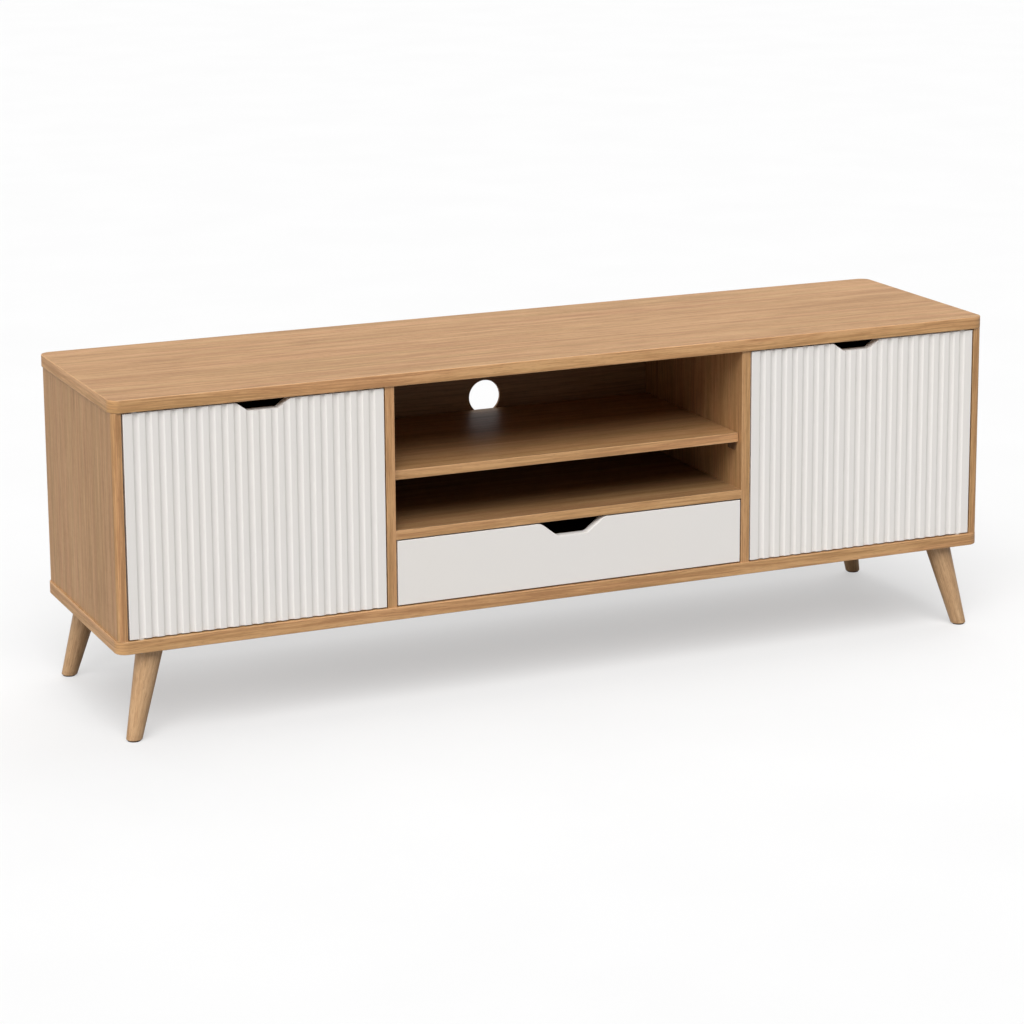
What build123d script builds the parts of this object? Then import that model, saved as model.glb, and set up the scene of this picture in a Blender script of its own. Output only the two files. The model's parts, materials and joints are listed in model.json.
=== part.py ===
from build123d import *

import math
import os

# A long, low media cabinet: two fluted doors, an open centre bay with two shelves, a drawer and four
# splayed legs. Millimetres. X runs along the cabinet, +Y to its back and +Z up. The origin is the
# middle of the floor under it. Left and right are as seen by someone who faces the doors.

# Overall size
WIDTH = 1500.0
DEPTH = 390.0
LEG_HEIGHT = 140.0
BAY_HEIGHT = 350.0
SLAB = 20.0
BOARD = 15.0

# Carcass
END_OVERHANG = 3.0
FACE_SETBACK = 3.0
REAR_SETBACK = 12.0
CORNER_RADIUS = 18.0
SIDE_NOSE_RADIUS = 8.0
SLAB_ARRIS = 1.5
BOARD_ARRIS = 0.8
CENTRE_BAY_WIDTH = 600.0
DRAWER_BAY_HEIGHT = 107.0
LOW_GAP_HEIGHT = 77.0
SHELF_SETBACK = 12.0
SHELF_SIDE_PLAY = 1.0
SHELF_REAR_PLAY = 2.0

# Back boards, held in grooves
BACK_RECESS = 36.0
BACK_BOARD = 5.0
GROOVE_DEPTH = 5.0
GROOVE_PLAY = 0.2
CABLE_HOLE_RADIUS = 28.0
CABLE_HOLE_ABOVE_SHELF = 20.5

# Doors
DOOR_THICKNESS = 18.0
HINGE_GAP = 2.5
FRONT_GAP = 2.0
FLUTE_COUNT = 20
FLUTE_WIDTH = 10.4
FLUTE_DEPTH = 2.5
FLUTE_EDGE_RADIUS = 1.6
FRONT_ARRIS = 0.7
DOOR_NOTCH = {"top": 86.0, "bottom": 48.0, "depth": 14.0, "top_radius": 9.0, "bottom_radius": 6.0}
DOOR_NOTCH_SHIFT = 13.0

# Door pivots
PIVOT_FROM_EDGE = 18.0
PIVOT_FROM_FACE = 8.0
PIN_RADIUS = 3.0
PIN_PLAY = 0.05
PIN_LENGTH = 8.5
PIN_ROOT = 1.0
PIN_CHAMFER = 0.6
BUSH_RADIUS = 5.0
BUSH_LENGTH = 8.5
BUSH_FLANGE_RADIUS = 7.0
BUSH_FLANGE = 1.6
BUSH_FLOOR = 1.0
PIVOT_PLATE = (44.0, 11.0, 2.0)
PLATE_PAST_PIN = 10.8
PLATE_FROM_DOOR_BACK = 2.0
PLATE_SCREWS_FROM_PIN = (10.0, 22.5)

# Small screws in the doors and catches
SMALL_SCREW_RADIUS = 1.5
SMALL_HEAD_RADIUS = 3.0
SMALL_SCREW_SLOT = (4.0, 0.8, 0.5)
PLATE_SCREW_DEPTH = 14.0
STRIKE_SCREW_DEPTH = 10.0
STRIKE_SCREW_SLOT = (2.4, 0.6, 0.5)
CATCH_SCREW_LENGTH = 12.5
CATCH_SCREW_HEAD = (2.8, 1.6)

# Magnetic catches
CATCH_SIZE = (42.0, 14.0, 13.0)
CATCH_FROM_EDGE = 50.0
CATCH_LUG = 10.0
CATCH_LUG_THICKNESS = 2.5
MAGNET_SIZE = (16.0, 9.0, 8.0)
STRIKE_SIZE = (34.0, 1.2, 11.0)
STRIKE_CORNER = 2.0
CATCH_AIR = 0.4

# Drawer
DRAWER_FRONT_THICKNESS = 15.0
DRAWER_BOARD = 12.0
DRAWER_SIDE_HEIGHT = 80.0
DRAWER_SIDE_LIFT = 10.0
DRAWER_LENGTH = 296.0
DRAWER_BOTTOM = 5.0
DRAWER_BOTTOM_LIFT = 8.0
DRAWER_GROOVE = 5.0
DRAWER_NOTCH = {"top": 110.0, "bottom": 51.0, "depth": 23.0, "top_radius": 16.0, "bottom_radius": 12.0}
DRAWER_CAM_RADIUS = 6.0
DRAWER_CAM_THICKNESS = 9.5
DRAWER_CAM_BORE = 3.0
DRAWER_CAM_SLOT = (7.0, 1.2, 1.2)
DRAWER_CAM_FROM_FRONT = 24.0
DRAWER_CAM_HEIGHTS = (-18.0, 22.0)
DRAWER_BOLT_RADIUS = 2.0
DRAWER_BOLT_HEAD = (2.6, 3.0)
DRAWER_BOLT_THREAD = 10.0
DRAWER_SCREW_RADIUS = 2.0
DRAWER_SCREW_LENGTH = 40.0
DRAWER_SCREW_SLOT = (3.0, 0.7, 0.5)
DRAWER_SCREW_FROM_EDGE = 14.0

# Drawer runners, three nested channels a side
RUNNER_SPACE = 13.0
RUNNER_LENGTH = 300.0
RUNNER_REAR_PLAY = 31.0
RUNNER_CENTRE_LIFT = 45.0
RUNNER_METAL = 1.2
RUNNER_HEIGHTS = (35.0, 29.0, 20.0)
CABINET_MEMBER_MOUTH = 3.0
MIDDLE_MEMBER_MOUTH = 2.0
MIDDLE_MEMBER_GAP = 2.2
DRAWER_MEMBER_GAP = 1.0
RUNNER_SCREW_RADIUS = 1.8
RUNNER_SCREW_HEAD = (3.4, 1.4)
DIVIDER_SCREW_DEPTH = 11.0
DIVIDER_SCREW_SHARES = (0.1, 0.5, 0.9)
DRAWER_SIDE_SCREW_DEPTH = 10.0
DRAWER_SIDE_SCREW_SHARES = (0.2, 0.75)

# Legs
LEG_TOP_X = 690.0
LEG_TOP_Y = 160.0
LEG_SPLAY_X = 34.0
LEG_SPLAY_Y = 18.0
LEG_TOP_RADIUS = 20.5
LEG_FOOT_RADIUS = 12.2
LEG_FOOT_ROUND = 1.5
GLIDE_RADIUS = 10.0
GLIDE_THICKNESS = 2.0
GLIDE_EDGE_RADIUS = 0.5
LEG_PLATE_SIDE = 50.0
LEG_PLATE_THICKNESS = 2.5
LEG_PLATE_CORNER = 6.0
LEG_SCREW_SPACING = 38.0
LEG_SCREW_RADIUS = 2.0
LEG_SCREW_LENGTH = 12.0
LEG_SCREW_HEAD = (3.6, 1.6)
LEG_BOLT_RADIUS = 4.0
LEG_BOLT_CHAMFER = 0.8
LEG_BOLT_IN_LEG = 40.0
LEG_BOLT_IN_SLAB = 12.0
LEG_BOLT_SIDE_PLAY = 0.5
LEG_BOLT_END_PLAY = 4.0

# Cams, bolts and dowels that pull the boards together
CAM_RADIUS = 7.5
CAM_THICKNESS = 12.0
CAM_FROM_END = 34.0
CAM_BORE_RADIUS = 4.0
CAM_SLOT = (9.0, 1.4, 1.5)
CAM_BOLT_RADIUS = 3.5
CAM_BOLT_HEAD = (3.2, 3.0)
CAM_BOLT_NECK = 5.0
CAM_THREAD_RADIUS = 2.5
CAM_THREAD_LENGTH = 11.0
CAM_ROWS = (-150.0, 100.0)
DOWEL_RADIUS = 4.0
DOWEL_LENGTH = 30.0
DOWEL_CHAMFER = 0.8
SHELF_DOWEL_IN_DIVIDER = 9.0
DOWEL_ROWS = (-110.0, 60.0)

# Shelf supports
SUPPORT_SIZE = (10.0, 24.0, 15.0)
SUPPORT_PLATE = 2.5
SUPPORT_PIN_RADIUS = 2.5
SUPPORT_PIN_LENGTH = 9.0
SUPPORT_PIN_DROP = 8.0
SUPPORT_ROWS = (-160.0, 128.0)

# Planes that follow from the sizes above
FACE_Y = -DEPTH / 2 + FACE_SETBACK
REAR_Y = DEPTH / 2 - REAR_SETBACK
BACK_Y = DEPTH / 2 - BACK_RECESS
SLAB_BOTTOM = LEG_HEIGHT
BAY_BOTTOM = SLAB_BOTTOM + SLAB
BAY_TOP = BAY_BOTTOM + BAY_HEIGHT
TOP = BAY_TOP + SLAB
SIDE_OUTER = WIDTH / 2 - END_OVERHANG
SIDE_INNER = SIDE_OUTER - BOARD
DIVIDER_INNER = CENTRE_BAY_WIDTH / 2
DIVIDER_OUTER = DIVIDER_INNER + BOARD
LOW_SHELF_BOTTOM = BAY_BOTTOM + DRAWER_BAY_HEIGHT
LOW_SHELF_TOP = LOW_SHELF_BOTTOM + BOARD
HIGH_SHELF_BOTTOM = LOW_SHELF_TOP + LOW_GAP_HEIGHT
HIGH_SHELF_TOP = HIGH_SHELF_BOTTOM + BOARD
DOOR_OUTER = SIDE_INNER - HINGE_GAP
DOOR_INNER = DIVIDER_OUTER + FRONT_GAP
DOOR_BOTTOM = BAY_BOTTOM + FRONT_GAP
DOOR_TOP = BAY_TOP - FRONT_GAP
DOOR_BACK_Y = FACE_Y + DOOR_THICKNESS
PIVOT_X = DOOR_OUTER - PIVOT_FROM_EDGE
PIVOT_Y = FACE_Y + PIVOT_FROM_FACE
DRAWER_FACE_HALF = DIVIDER_INNER - FRONT_GAP
DRAWER_HALF = DIVIDER_INNER - RUNNER_SPACE
DRAWER_START_Y = FACE_Y + DRAWER_FRONT_THICKNESS
DRAWER_END_Y = DRAWER_START_Y + DRAWER_LENGTH
DRAWER_SIDE_BOTTOM = BAY_BOTTOM + DRAWER_SIDE_LIFT
DRAWER_SIDE_TOP = DRAWER_SIDE_BOTTOM + DRAWER_SIDE_HEIGHT
DRAWER_FLOOR_BOTTOM = DRAWER_SIDE_BOTTOM + DRAWER_BOTTOM_LIFT
DRAWER_FLOOR_TOP = DRAWER_FLOOR_BOTTOM + DRAWER_BOTTOM
RUNNER_Z = BAY_BOTTOM + RUNNER_CENTRE_LIFT
RUNNER_END_Y = BACK_Y - RUNNER_REAR_PLAY
RUNNER_START_Y = RUNNER_END_Y - RUNNER_LENGTH
PLATE_BOTTOM = SLAB_BOTTOM - LEG_PLATE_THICKNESS
SIDES = {"left": -1, "right": 1}


# Helpers ------------------------------------------------------------------------------------------


def block(x, y, z):
    """A box between two values along each axis, given in either order."""
    low = [min(pair) for pair in (x, y, z)]
    high = [max(pair) for pair in (x, y, z)]
    middle = [(a + b) / 2 for a, b in zip(low, high)]
    return Pos(*middle) * Box(*[b - a for a, b in zip(low, high)])


def rod(base, direction, radius, length):
    """A round bar that starts at base and runs along direction."""
    start_up = (Align.CENTER, Align.CENTER, Align.MIN)
    return Plane(origin=base, z_dir=direction).location * Cylinder(radius, length, align=start_up)


def moved(point, direction, distance):
    """The point that lies a distance from point along direction."""
    return Vector(*point) + Vector(*direction).normalized() * distance


def group(solids):
    """Separate solids that share one node."""
    return Compound(children=list(solids))


def front_arris(board, *, horizontal):
    """Rounds a board's front edges, which run along X on a shelf and along Z on an upright."""
    axis = Axis.X if horizontal else Axis.Z
    front = board.edges().filter_by(axis).group_by(Axis.Y)[0]
    return fillet(front, BOARD_ARRIS)


def cross_recess(centre, direction, slot):
    """Two crossed bars that cut a screwdriver's recess. The slot is its length, width and depth."""
    length, width, depth = slot
    plane = Plane(origin=centre, z_dir=direction)
    bars = (Box(length, width, depth * 2), Box(width, length, depth * 2))
    return [plane.location * bar for bar in bars]


def screw(seat, direction, shank_radius, length, head_size):
    """A pan-head screw whose head stands on seat and whose shank runs along direction."""
    head_radius, head_height = head_size
    back = Vector(*direction).normalized() * -1
    head = rod(seat, back, head_radius, head_height)
    head = fillet(head.edges().sort_by(Axis(seat, back))[-1], head_height * 0.4)
    slot = (head_radius * 1.1, head_radius * 0.25, head_height * 0.5)
    recess = cross_recess(moved(seat, back, head_height), back, slot)
    return head + rod(seat, direction, shank_radius, length) - recess


# Where the hardware goes --------------------------------------------------------------------------


def cam_places():
    """Each cam's face centre, the way its disc sinks in, and the way its bolt runs out of it."""
    places = []
    for side in SIDES.values():
        for face_x in (SIDE_INNER, DIVIDER_OUTER):
            inward = 1 if face_x == SIDE_INNER else -1
            for end_z, up in ((BAY_BOTTOM, 1), (BAY_TOP, -1)):
                for y in CAM_ROWS:
                    face = (side * face_x, y, end_z + up * CAM_FROM_END)
                    places.append((face, (side * inward, 0, 0), (0, 0, -up)))
        for y in CAM_ROWS:
            face = (side * (DIVIDER_INNER - CAM_FROM_END), y, LOW_SHELF_BOTTOM)
            places.append((face, (0, 0, 1), (side, 0, 0)))
    return places


def cam_centre(face, sink):
    """A point on the bolt's axis, in the middle of the board that holds the cam."""
    return moved(face, sink, BOARD / 2)


def dowel_places():
    """The joint face at the middle of each dowel, and the dowel's direction."""
    places = []
    for side in SIDES.values():
        for centre_x in ((SIDE_INNER + SIDE_OUTER) / 2, (DIVIDER_INNER + DIVIDER_OUTER) / 2):
            for end_z in (BAY_BOTTOM, BAY_TOP):
                for y in DOWEL_ROWS:
                    places.append((side * centre_x, y, end_z))
    return places


def shelf_dowel_places():
    """Where the short dowels of the fixed shelf cross the faces of the dividers."""
    middle_z = (LOW_SHELF_BOTTOM + LOW_SHELF_TOP) / 2
    return [(side * DIVIDER_INNER, y, middle_z) for side in SIDES.values() for y in DOWEL_ROWS]


def leg_places():
    """Name, signs and axis of each leg. The axis runs from the leg's top centre down to its foot."""
    places = {}
    for row, y_sign in (("front", -1), ("back", 1)):
        for name, x_sign in SIDES.items():
            top = Vector(x_sign * LEG_TOP_X, y_sign * LEG_TOP_Y, PLATE_BOTTOM)
            drop = GLIDE_THICKNESS - PLATE_BOTTOM
            axis = Vector(x_sign * LEG_SPLAY_X, y_sign * LEG_SPLAY_Y, drop)
            places[f"{row}_{name}"] = (top, axis)
    return places


def leg_screw_places():
    """The seat of each leg-plate screw, on the underside of its plate."""
    half = LEG_SCREW_SPACING / 2
    seats = []
    for top, _ in leg_places().values():
        for dx in (-half, half):
            for dy in (-half, half):
                seats.append((top.X + dx, top.Y + dy, PLATE_BOTTOM))
    return seats


def support_places():
    """The divider face behind each shelf support, and the way that the support's pin points."""
    return [
        ((side * DIVIDER_INNER, y, HIGH_SHELF_BOTTOM), side)
        for side in SIDES.values()
        for y in SUPPORT_ROWS
    ]


def runner_screw_ys():
    """Distances along a runner where its screws sit."""
    return [RUNNER_START_Y + share * RUNNER_LENGTH for share in DIVIDER_SCREW_SHARES]


# Fasteners ----------------------------------------------------------------------------------------


def cam(face, sink, out):
    """A cam disc with a cross recess in its face and a bore that takes the bolt's head."""
    disc = rod(face, sink, CAM_RADIUS, CAM_THICKNESS)
    centre = cam_centre(face, sink)
    bore = rod(centre, out, CAM_BORE_RADIUS, CAM_RADIUS * 2)
    pocket = rod(centre, moved((0, 0, 0), out, -1), CAM_BORE_RADIUS, CAM_BORE_RADIUS)
    return disc - bore - pocket - cross_recess(face, sink, CAM_SLOT)


def cam_bolt(face, sink, out):
    """A bolt with its head in the cam, a plain shank to the joint and a thread in the next board."""
    centre = cam_centre(face, sink)
    head_radius, head_length = CAM_BOLT_HEAD
    head = rod(centre, out, head_radius, head_length)
    neck = rod(moved(centre, out, head_length), out, CAM_THREAD_RADIUS, CAM_BOLT_NECK)
    shank_start = head_length + CAM_BOLT_NECK
    shank = rod(moved(centre, out, shank_start), out, CAM_BOLT_RADIUS, CAM_FROM_END - shank_start)
    thread = rod(moved(centre, out, CAM_FROM_END), out, CAM_THREAD_RADIUS, CAM_THREAD_LENGTH)
    return head + neck + shank + thread


def cam_cutters():
    """What the cams and bolts need removed from the boards that hold the cams."""
    cutters = []
    for face, sink, out in cam_places():
        cutters.append(rod(face, sink, CAM_RADIUS, CAM_THICKNESS))
        cutters.append(rod(cam_centre(face, sink), out, CAM_BORE_RADIUS, CAM_FROM_END))
    return cutters


def bolt_thread_cutters():
    """The threaded holes of the cam bolts, in the boards that they pull against."""
    cutters = []
    for face, sink, out in cam_places():
        joint = moved(cam_centre(face, sink), out, CAM_FROM_END)
        cutters.append(rod(joint, out, CAM_THREAD_RADIUS, CAM_THREAD_LENGTH))
    return cutters


def dowel(point):
    """A dowel that stands across a joint, with rounded ends."""
    bottom = (point[0], point[1], point[2] - DOWEL_LENGTH / 2)
    peg = rod(bottom, (0, 0, 1), DOWEL_RADIUS, DOWEL_LENGTH)
    return chamfer(peg.edges().filter_by(GeomType.CIRCLE), DOWEL_CHAMFER)


def shelf_dowel(point):
    """A shorter dowel that lies along X between a divider and the fixed shelf."""
    inward = -math.copysign(1, point[0])
    start = moved(point, (inward, 0, 0), -SHELF_DOWEL_IN_DIVIDER)
    peg = rod(start, (inward, 0, 0), DOWEL_RADIUS, DOWEL_LENGTH)
    return chamfer(peg.edges().filter_by(GeomType.CIRCLE), DOWEL_CHAMFER)


def wooden_dowels():
    return group([dowel(p) for p in dowel_places()] + [shelf_dowel(p) for p in shelf_dowel_places()])


def dowel_cutters():
    """Plain bores of the same size as the dowels."""
    cutters = []
    for x, y, z in dowel_places():
        cutters.append(rod((x, y, z - DOWEL_LENGTH / 2), (0, 0, 1), DOWEL_RADIUS, DOWEL_LENGTH))
    for point in shelf_dowel_places():
        inward = -math.copysign(1, point[0])
        start = moved(point, (inward, 0, 0), -SHELF_DOWEL_IN_DIVIDER)
        cutters.append(rod(start, (inward, 0, 0), DOWEL_RADIUS, DOWEL_LENGTH))
    return cutters


# Carcass ------------------------------------------------------------------------------------------


def back_groove_cutter(x_from, x_to):
    """The groove round one back board, a little wider than the board."""
    x = (x_from - GROOVE_DEPTH, x_to + GROOVE_DEPTH)
    y = (BACK_Y, BACK_Y + BACK_BOARD + GROOVE_PLAY)
    z = (BAY_BOTTOM - GROOVE_DEPTH, BAY_TOP + GROOVE_DEPTH)
    return block(x, y, z)


def back_groove_cutters():
    cutters = [back_groove_cutter(-DIVIDER_INNER, DIVIDER_INNER)]
    cutters.append(back_groove_cutter(-SIDE_INNER, -DIVIDER_OUTER))
    cutters.append(back_groove_cutter(DIVIDER_OUTER, SIDE_INNER))
    return cutters


def slab(bottom):
    """The plain top or bottom panel: rounded corners in plan and softened edges."""
    outline = RectangleRounded(WIDTH, DEPTH, CORNER_RADIUS)
    panel = Pos(0, 0, bottom) * extrude(outline, SLAB)
    level_edges = panel.edges().filter_by(Axis.Z, reverse=True)
    return fillet(level_edges, SLAB_ARRIS)


def bush_cutters(face_z, up):
    """The bores of the two pivot bushes in a slab, whose face is at face_z and body is along up."""
    return [
        rod((side * PIVOT_X, PIVOT_Y, face_z), (0, 0, up), BUSH_RADIUS, BUSH_LENGTH)
        for side in SIDES.values()
    ]


def top_panel():
    panel = slab(BAY_TOP)
    cutters = bolt_thread_cutters() + dowel_cutters() + back_groove_cutters()
    cutters += bush_cutters(BAY_TOP, 1)
    for seat in catch_screw_seats():
        cutters.append(rod(seat, (0, 0, 1), SMALL_SCREW_RADIUS, CATCH_SCREW_LENGTH))
    return panel - cutters


def bottom_panel():
    panel = slab(SLAB_BOTTOM)
    cutters = bolt_thread_cutters() + dowel_cutters() + back_groove_cutters()
    cutters += bush_cutters(BAY_BOTTOM, -1)
    for seat in leg_screw_places():
        cutters.append(rod(seat, (0, 0, 1), LEG_SCREW_RADIUS, LEG_SCREW_LENGTH))
    bore_radius = LEG_BOLT_RADIUS + LEG_BOLT_SIDE_PLAY
    for top, axis in leg_places().values():
        cutters.append(rod(top, axis * -1, bore_radius, LEG_BOLT_IN_SLAB + LEG_BOLT_END_PLAY))
    return panel - cutters


def side_panel(side):
    """An end panel, with its outer front edge rounded like a nose."""
    panel = block((side * SIDE_INNER, side * SIDE_OUTER), (FACE_Y, REAR_Y), (BAY_BOTTOM, BAY_TOP))
    upright = panel.edges().filter_by(Axis.Z).group_by(Axis.Y)[0].sort_by(Axis.X)
    nose = upright[-1] if side > 0 else upright[0]
    panel = fillet(nose, SIDE_NOSE_RADIUS)
    inner = panel.edges().filter_by(Axis.Z).group_by(Axis.Y)[0].sort_by(Axis.X)
    panel = fillet(inner[0] if side > 0 else inner[-1], BOARD_ARRIS)
    return panel - cam_cutters() - dowel_cutters() - back_groove_cutters()


def divider(side):
    """The upright between a cupboard and the centre bay."""
    x = (side * DIVIDER_INNER, side * DIVIDER_OUTER)
    panel = front_arris(block(x, (FACE_Y, REAR_Y), (BAY_BOTTOM, BAY_TOP)), horizontal=False)
    cutters = cam_cutters() + bolt_thread_cutters() + dowel_cutters() + back_groove_cutters()
    for point, outward in support_places():
        pin = (point[0], point[1], point[2] - SUPPORT_PIN_DROP)
        cutters.append(rod(pin, (outward, 0, 0), SUPPORT_PIN_RADIUS, SUPPORT_PIN_LENGTH))
    for y in runner_screw_ys():
        seat = (side * DIVIDER_INNER, y, RUNNER_Z)
        cutters.append(rod(seat, (side, 0, 0), RUNNER_SCREW_RADIUS, DIVIDER_SCREW_DEPTH))
    return panel - cutters


def fixed_shelf():
    """The lower shelf, flush with the dividers' front edges and joined to both."""
    z = (LOW_SHELF_BOTTOM, LOW_SHELF_TOP)
    board = block((-DIVIDER_INNER, DIVIDER_INNER), (FACE_Y, BACK_Y), z)
    return front_arris(board, horizontal=True) - cam_cutters() - dowel_cutters()


def adjustable_shelf():
    """The loose upper shelf, set back from the front, which rests on four supports."""
    half = DIVIDER_INNER - SHELF_SIDE_PLAY
    y = (FACE_Y + SHELF_SETBACK, BACK_Y - SHELF_REAR_PLAY)
    board = block((-half, half), y, (HIGH_SHELF_BOTTOM, HIGH_SHELF_TOP))
    return front_arris(board, horizontal=True)


def back_board(x_from, x_to):
    """A thin board that sits in the grooves of the panels round it."""
    reach = GROOVE_DEPTH - GROOVE_PLAY
    z = (BAY_BOTTOM - reach, BAY_TOP + reach)
    return block((x_from - reach, x_to + reach), (BACK_Y, BACK_Y + BACK_BOARD), z)


def centre_back_board():
    board = back_board(-DIVIDER_INNER, DIVIDER_INNER)
    centre = (0, BACK_Y - BACK_BOARD, HIGH_SHELF_TOP + CABLE_HOLE_ABOVE_SHELF)
    return board - rod(centre, (0, 1, 0), CABLE_HOLE_RADIUS, BACK_BOARD * 3)


def shelf_support(point, outward):
    """A small bracket: a plate on the divider, a ledge, a web between them and a pin behind."""
    width, length, height = SUPPORT_SIZE
    inner = point[0] - outward * width
    y = (point[1] - length / 2, point[1] + length / 2)
    plate_x = (point[0], point[0] - outward * SUPPORT_PLATE)
    plate = block(plate_x, y, (point[2] - height, point[2]))
    ledge = block((point[0], inner), y, (point[2] - SUPPORT_PLATE, point[2]))
    corner = (point[0] - outward * SUPPORT_PLATE, point[2] - SUPPORT_PLATE)
    web_outline = Polyline(
        (corner[0], 0, corner[1]),
        (inner, 0, corner[1]),
        (corner[0], 0, point[2] - height),
        close=True,
    )
    web = extrude(make_face(web_outline), SUPPORT_PLATE / 2, dir=(0, 1, 0), both=True)
    web = Pos(0, point[1], 0) * web
    pin_base = (point[0], point[1], point[2] - SUPPORT_PIN_DROP)
    pin = rod(pin_base, (outward, 0, 0), SUPPORT_PIN_RADIUS, SUPPORT_PIN_LENGTH)
    return plate + ledge + web + pin


def shelf_supports():
    return group(shelf_support(point, outward) for point, outward in support_places())


# Legs ---------------------------------------------------------------------------------------------


def leg(top, axis):
    """A turned, tapered leg, leaning outwards, with both ends cut level."""
    length = axis.length
    spare = LEG_TOP_RADIUS
    taper = (LEG_TOP_RADIUS - LEG_FOOT_RADIUS) / length
    start = moved(top, axis, -spare)
    cone = Cone(
        LEG_TOP_RADIUS + taper * spare,
        LEG_FOOT_RADIUS - taper * spare,
        length + spare * 2,
        align=(Align.CENTER, Align.CENTER, Align.MIN),
    )
    turned = Plane(origin=start, z_dir=axis).location * cone
    reach = LEG_TOP_RADIUS * 4
    level = block(
        (top.X - reach, top.X + reach), (top.Y - reach, top.Y + reach), (GLIDE_THICKNESS, PLATE_BOTTOM)
    )
    turned = turned & level
    foot_edge = turned.edges().group_by(Axis.Z)[0]
    turned = fillet(foot_edge, LEG_FOOT_ROUND)
    mouth = moved(top, axis, -LEG_BOLT_RADIUS)
    return turned - rod(mouth, axis, LEG_BOLT_RADIUS, LEG_BOLT_RADIUS + LEG_BOLT_IN_LEG)


def leg_bolt(top, axis):
    """A double-ended bolt along the leg's axis, through the plate and up into the bottom panel."""
    start = moved(top, axis, -LEG_BOLT_IN_SLAB)
    bolt = rod(start, axis, LEG_BOLT_RADIUS, LEG_BOLT_IN_SLAB + LEG_BOLT_IN_LEG)
    return chamfer(bolt.edges().filter_by(GeomType.CIRCLE), LEG_BOLT_CHAMFER)


def leg_plate(top, axis):
    """A steel plate under the bottom panel, tapped for the leg's bolt."""
    outline = RectangleRounded(LEG_PLATE_SIDE, LEG_PLATE_SIDE, LEG_PLATE_CORNER)
    plate = Pos(top.X, top.Y, PLATE_BOTTOM) * extrude(outline, LEG_PLATE_THICKNESS)
    half = LEG_SCREW_SPACING / 2
    holes = [rod(moved(top, axis, LEG_TOP_RADIUS), axis * -1, LEG_BOLT_RADIUS, LEG_TOP_RADIUS * 3)]
    for dx in (-half, half):
        for dy in (-half, half):
            seat = (top.X + dx, top.Y + dy, PLATE_BOTTOM)
            holes.append(rod(seat, (0, 0, 1), LEG_SCREW_RADIUS, LEG_PLATE_THICKNESS))
    return plate - holes


def leg_plates():
    return group(leg_plate(top, axis) for top, axis in leg_places().values())


def leg_bolts():
    return group(leg_bolt(top, axis) for top, axis in leg_places().values())


def leg_plate_screws():
    return group(
        screw(seat, (0, 0, 1), LEG_SCREW_RADIUS, LEG_SCREW_LENGTH, LEG_SCREW_HEAD)
        for seat in leg_screw_places()
    )


def foot_glide(top, axis):
    """A thin pad under the middle of a leg's foot."""
    foot = top + axis
    pad = rod((foot.X, foot.Y, 0), (0, 0, 1), GLIDE_RADIUS, GLIDE_THICKNESS)
    return fillet(pad.edges().group_by(Axis.Z)[0], GLIDE_EDGE_RADIUS)


def foot_glides():
    return group(foot_glide(top, axis) for top, axis in leg_places().values())


# Doors --------------------------------------------------------------------------------------------


def notched_outline(x_span, z_span, notch, middle):
    """A front's outline in the XZ plane, with a finger notch in its top edge, centred on middle."""
    x_from, x_to = x_span
    bottom, top = z_span
    half_top = notch["top"] / 2
    half_bottom = notch["bottom"] / 2
    floor = top - notch["depth"]
    points = [(x_from, bottom), (x_to, bottom), (x_to, top), (middle + half_top, top)]
    points += [(middle + half_bottom, floor), (middle - half_bottom, floor)]
    points += [(middle - half_top, top), (x_from, top)]
    face = make_face(Polyline(*points, close=True))
    for height, radius in ((floor, notch["bottom_radius"]), (top, notch["top_radius"])):
        level = [v for v in face.vertices() if math.isclose(v.Y, height)]
        face = fillet([v for v in level if abs(v.X - middle) < half_top * 1.1], radius)
    return Plane.XZ * face


def fluted_blank(x_from, x_to):
    """An upright board with softened front edges and evenly spaced round-edged flutes."""
    pitch = (x_to - x_from) / (FLUTE_COUNT + 1)
    radius = (FLUTE_WIDTH**2 / 4 + FLUTE_DEPTH**2) / (2 * FLUTE_DEPTH)
    centre_y = FACE_Y + FLUTE_DEPTH - radius
    middle = ((x_from + x_to) / 2, (FACE_Y + DOOR_BACK_Y) / 2)
    plan = Pos(*middle) * Rectangle(x_to - x_from, DOOR_THICKNESS)
    for index in range(1, FLUTE_COUNT + 1):
        plan = plan - Pos(x_from + index * pitch, centre_y) * Circle(radius)
    front = plan.vertices().group_by(Axis.Y)[0].sort_by(Axis.X)
    plan = fillet(front[1:-1], FLUTE_EDGE_RADIUS)
    front = plan.vertices().group_by(Axis.Y)[0].sort_by(Axis.X)
    plan = fillet([front[0], front[-1]], FRONT_ARRIS)
    return extrude(Pos(0, 0, DOOR_BOTTOM) * plan, DOOR_TOP - DOOR_BOTTOM)


def door_span(side):
    """The low and high X of a door."""
    return sorted((side * DOOR_INNER, side * DOOR_OUTER))


def pivot_ends():
    """Edge height of the door and the way out of it, for the upper and the lower pivot."""
    return {"upper": (DOOR_TOP, 1), "lower": (DOOR_BOTTOM, -1)}


def plate_screw_xs(side):
    """Where a pivot plate's two screws sit along the door's edge."""
    return [side * (PIVOT_X - distance) for distance in PLATE_SCREWS_FROM_PIN]


def strike_centre(side):
    """The middle of the strike plate, on the door's back face."""
    height = BAY_TOP - CATCH_SIZE[2] / 2
    return (side * (DOOR_INNER + CATCH_FROM_EDGE), DOOR_BACK_Y, height)


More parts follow.
